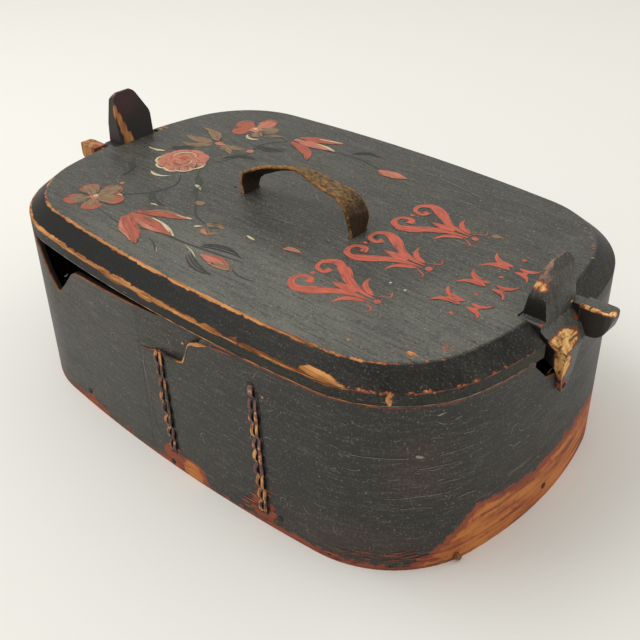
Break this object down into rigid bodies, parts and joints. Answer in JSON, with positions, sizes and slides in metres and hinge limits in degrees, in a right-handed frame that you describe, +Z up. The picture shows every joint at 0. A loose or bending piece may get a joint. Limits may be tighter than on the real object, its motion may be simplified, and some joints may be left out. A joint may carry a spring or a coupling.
{
  "type": "bentwood box with snap-in lid",
  "caption": "Oval bentwood box of one lapped and laced strip, with a thick bevelled board lid that snaps between two carved end posts and a leather strap handle.",
  "frame": {"origin": "centre of the flat base, on the surface that the box stands on", "axes": "+X along the length towards the post whose lug stands at +Y, +Y towards the plain long side, +Z up"},
  "size_m": [0.418, 0.2562, 0.1701],
  "materials": {
    "painted_wall": "worn black-green paint over softwood",
    "painted_lid": "worn black-green paint over softwood",
    "painted_post": "worn dark paint, polished by hands",
    "root": "split root, darkened",
    "bare_board": "aged bare softwood",
    "peg_wood": "aged hardwood peg",
    "leather": "rough worn leather"
  },
  "bodies": {
    "box": {"wall_band": "painted_wall", "lap_lacing_left": "root", "lap_lacing_right": "root", "bottom_board": "bare_board", "bottom_peg_01": "peg_wood", "bottom_peg_02": "peg_wood", "bottom_peg_03": "peg_wood", "bottom_peg_04": "peg_wood", "bottom_peg_05": "peg_wood", "bottom_peg_06": "peg_wood", "bottom_peg_07": "peg_wood", "bottom_peg_08": "peg_wood", "bottom_peg_09": "peg_wood", "bottom_peg_10": "peg_wood", "bottom_peg_11": "peg_wood", "bottom_peg_12": "peg_wood", "post_peg_right": "peg_wood", "post_peg_left": "peg_wood"},
    "lid": {"lid_board": "painted_lid", "strap_handle": "leather", "strap_pin_left_front": "peg_wood", "strap_pin_left_back": "peg_wood", "strap_pin_right_front": "peg_wood", "strap_pin_right_back": "peg_wood"},
    "post_right": {"post_right": "painted_post"},
    "post_left": {"post_left": "painted_post"}
  },
  "joints": [
    {"name": "lid_lift", "type": "slide", "parent": "box", "child": "lid", "axis": [0, 0, 1], "range_m": [0, 0.08]},
    {"name": "post_right_flex", "type": "hinge", "parent": "box", "child": "post_right", "pos_m": [0.1917, 0, 0.0875], "axis": [0, 1, 0], "range_deg": [0, 8], "stiffness_Nm_per_rad": 3},
    {"name": "post_left_flex", "type": "hinge", "parent": "box", "child": "post_left", "pos_m": [-0.1917, 0, 0.0875], "axis": [0, -1, 0], "range_deg": [0, 8], "stiffness_Nm_per_rad": 3}
  ]
}
